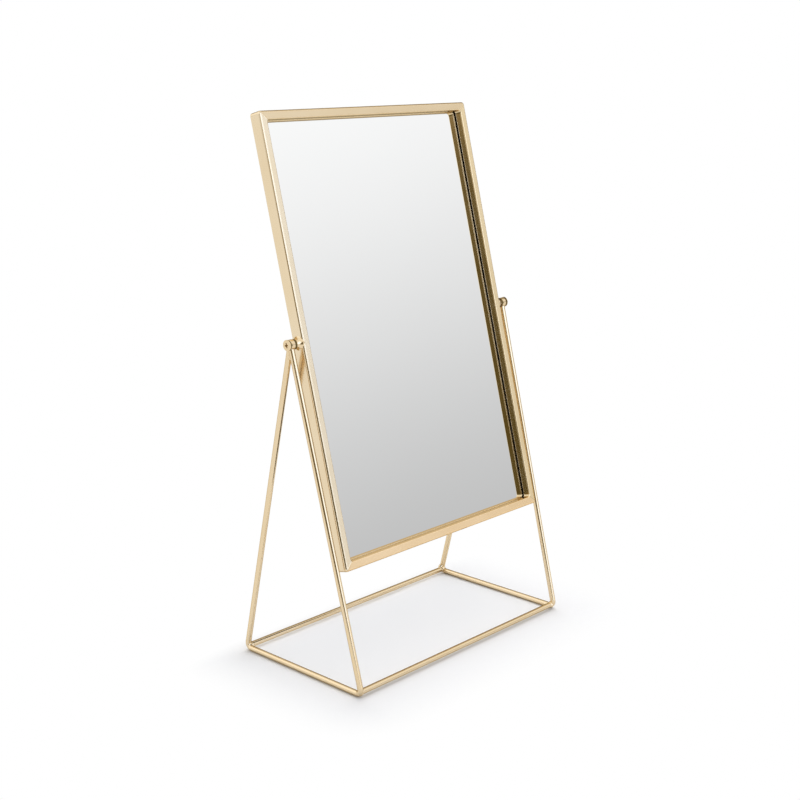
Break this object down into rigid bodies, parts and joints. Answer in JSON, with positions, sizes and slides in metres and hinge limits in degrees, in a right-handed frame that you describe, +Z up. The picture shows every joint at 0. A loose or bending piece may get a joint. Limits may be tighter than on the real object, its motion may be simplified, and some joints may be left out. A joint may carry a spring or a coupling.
{
  "type": "standing mirror",
  "caption": "Table-top mirror: a rectangular glass in a slim gold frame that tips between two A-shaped wire sides of an open wire stand.",
  "frame": {"origin": "on the table, midway between the side wires and right under the tipping axis", "axes": "+X across the mirror to the right as seen from the front, +Y to the back, +Z up"},
  "size_m": [0.2202, 0.117, 0.3771],
  "materials": {
    "gold_wire": "satin gold on steel wire",
    "gold_frame": "satin gold on folded steel",
    "gold_hardware": "satin",
    "silvered_glass": "polished",
    "dark_bronze": "darkened",
    "back_sheet": "fine grain",
    "black_foam": "matt",
    "black_sealant": "satin"
  },
  "bodies": {
    "stand": {"left_side_wire": "gold_wire", "right_side_wire": "gold_wire", "front_cross_bar": "gold_wire", "rear_cross_bar": "gold_wire", "left_pivot_eye": "gold_wire", "right_pivot_eye": "gold_wire"},
    "mirror_head": {"frame_top_rail": "gold_frame", "frame_bottom_rail": "gold_frame", "frame_left_stile": "gold_frame", "frame_right_stile": "gold_frame", "glass_gasket": "black_foam", "mirror_glass": "silvered_glass", "back_panel": "back_sheet", "rear_sealant_bead": "black_sealant", "left_pivot_bush": "gold_hardware", "right_pivot_bush": "gold_hardware", "left_inner_washer": "dark_bronze", "right_inner_washer": "dark_bronze", "left_outer_washer": "dark_bronze", "right_outer_washer": "dark_bronze", "left_pivot_screw": "gold_hardware", "right_pivot_screw": "gold_hardware"}
  },
  "joints": [
    {"name": "mirror_tilt", "type": "hinge", "parent": "stand", "child": "mirror_head", "pos_m": [0, 0, 0.23], "axis": [1, 0, 0], "continuous": true}
  ]
}
